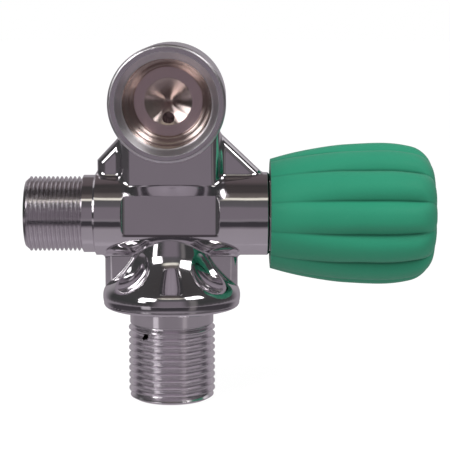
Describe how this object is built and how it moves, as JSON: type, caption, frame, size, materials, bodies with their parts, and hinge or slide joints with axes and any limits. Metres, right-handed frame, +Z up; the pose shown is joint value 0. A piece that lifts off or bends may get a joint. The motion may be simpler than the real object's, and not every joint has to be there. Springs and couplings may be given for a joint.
{
  "type": "cylinder valve",
  "caption": "Chromed cross-shaped scuba cylinder valve: threaded neck and collar, front outlet on a pillar, threaded side port, ribbed green handwheel.",
  "frame": {"origin": "centre of the collar's underside, on the axis of the neck thread", "axes": "+Z up along the neck, out of the cylinder; +X along the barrel to the handwheel; -Y out of the outlet"},
  "size_m": [0.1164, 0.053, 0.1026],
  "materials": {
    "chrome_body": "polished chrome plate",
    "chrome_nut": "polished chrome plate",
    "turned_brass": "turned brass",
    "spindle_brass": "turned brass",
    "stainless": "bright stainless",
    "spring_steel": "drawn spring wire",
    "seal_rubber": "black nitrile",
    "grip_rubber": "green moulded rubber",
    "hub_plastic": "glass-filled nylon",
    "white_nylon": "natural nylon",
    "ptfe": "PTFE"
  },
  "bodies": {
    "valve": {"valve_body": "chrome_body", "gland_nut": "chrome_nut", "gland_o_ring": "seal_rubber", "port_plug": "turned_brass", "port_plug_o_rings": "seal_rubber", "port_circlip": "stainless"},
    "handwheel": {"upper_spindle": "spindle_brass", "thrust_washer": "ptfe", "spindle_o_rings": "seal_rubber", "spindle_backup_rings": "ptfe", "handwheel_washer": "white_nylon", "handwheel_hub": "hub_plastic", "handwheel_grip": "grip_rubber", "handwheel_spring": "spring_steel", "spring_cup": "stainless", "handwheel_nut": "stainless"},
    "shutoff": {"seat_carrier": "turned_brass", "seat_disc": "white_nylon", "seat_screw": "stainless", "carrier_o_ring": "seal_rubber"}
  },
  "joints": [
    {"name": "handwheel_turn", "type": "hinge", "parent": "valve", "child": "handwheel", "pos_m": [0.05, 0, 0.0267], "axis": [1, 0, 0], "range_deg": [0, 1080]},
    {"name": "seat_travel", "type": "slide", "parent": "handwheel", "child": "shutoff", "axis": [1, 0, 0], "range_m": [0, 0.003]}
  ],
  "couplings": [
    {"joint": "seat_travel", "follows": "handwheel_turn", "m_per_rad": 0.00015915}
  ]
}
